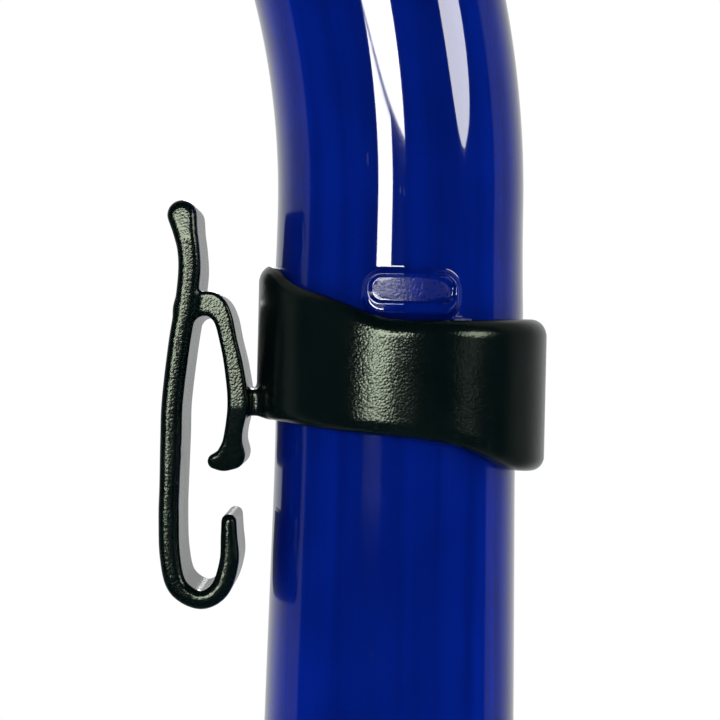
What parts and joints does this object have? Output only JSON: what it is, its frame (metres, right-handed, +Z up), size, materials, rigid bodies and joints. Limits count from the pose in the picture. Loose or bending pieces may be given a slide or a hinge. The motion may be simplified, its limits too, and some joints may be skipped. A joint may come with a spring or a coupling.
{
  "type": "snorkel",
  "caption": "Bent-barrel snorkel with a swivelling mask-strap keeper, float-valve dry top, corrugated hose, purge chamber and bite mouthpiece.",
  "frame": {"origin": "middle of the keeper's strap slot, where the mask strap holds the snorkel", "axes": "+Z up along the barrel's lower stretch, towards the dry top; +Y along the mask strap; +X from the wearer's head outwards, so the mouthpiece and the dry top both lean to -X"},
  "size_m": [0.1245, 0.058, 0.3918],
  "materials": {
    "barrel_blue": "polished cobalt-blue tube",
    "keeper_black": "fine spark-eroded grain, black",
    "housing_black": "fine moulded texture, black",
    "trim_blue": "satin cobalt-blue moulding",
    "silicone_black": "soft black silicone",
    "silicone_clear": "milky translucent silicone",
    "float_foam": "closed-cell float, off-white",
    "pin_steel": "stainless pin",
    "safety_orange": "fluorescent orange band"
  },
  "bodies": {
    "keeper": {"strap_keeper": "keeper_black"},
    "barrel": {"barrel_tube": "barrel_blue", "barrel_o_ring": "silicone_black", "safety_band": "safety_orange", "head_base": "housing_black", "head_cap": "trim_blue", "valve_pin": "pin_steel", "flex_hose": "silicone_black", "hose_ring_upper": "trim_blue"},
    "float": {"float": "float_foam"},
    "valve_flap": {"valve_lever": "trim_blue", "valve_seal": "silicone_black"},
    "chamber": {"hose_ring_lower": "trim_blue", "chamber_body": "housing_black", "purge_seat": "housing_black", "purge_cover": "trim_blue"},
    "membrane": {"purge_membrane": "silicone_clear"},
    "mouth": {"swivel_collar": "trim_blue", "swivel_o_ring": "silicone_black", "mouthpiece": "silicone_black", "mouthpiece_band": "housing_black"}
  },
  "joints": [
    {"name": "keeper_swivel", "type": "hinge", "parent": "keeper", "child": "barrel", "pos_m": [0.019, 0, 0.009], "axis": [0, 0, 1], "range_deg": [0, 170]},
    {"name": "float_rise", "type": "slide", "parent": "barrel", "child": "float", "axis": [-0.4695, 0, 0.8829], "range_m": [0, 0.00347]},
    {"name": "flap_turn", "type": "hinge", "parent": "barrel", "child": "valve_flap", "pos_m": [-0.03492, 0, 0.17683], "axis": [0, -1, 0], "range_deg": [0, 20]},
    {"name": "hose_flex", "type": "hinge", "parent": "barrel", "child": "chamber", "pos_m": [0.01501, 0, -0.1165], "axis": [0, 1, 0], "range_deg": [-25, 30], "stiffness_Nm_per_rad": 1.5, "deforming": ["flex_hose"]},
    {"name": "membrane_lift", "type": "slide", "parent": "chamber", "child": "membrane", "axis": [-0.6691, 0, -0.7431], "range_m": [0, 0.0012], "stiffness_N_per_m": 50},
    {"name": "mouthpiece_swivel", "type": "hinge", "parent": "chamber", "child": "mouth", "pos_m": [-0.05029, 0, -0.14838], "axis": [-0.9659, 0, 0.2588], "range_deg": [-60, 60]}
  ],
  "couplings": [
    {"joint": "flap_turn", "follows": "float_rise", "rad_per_m": 100.5}
  ]
}
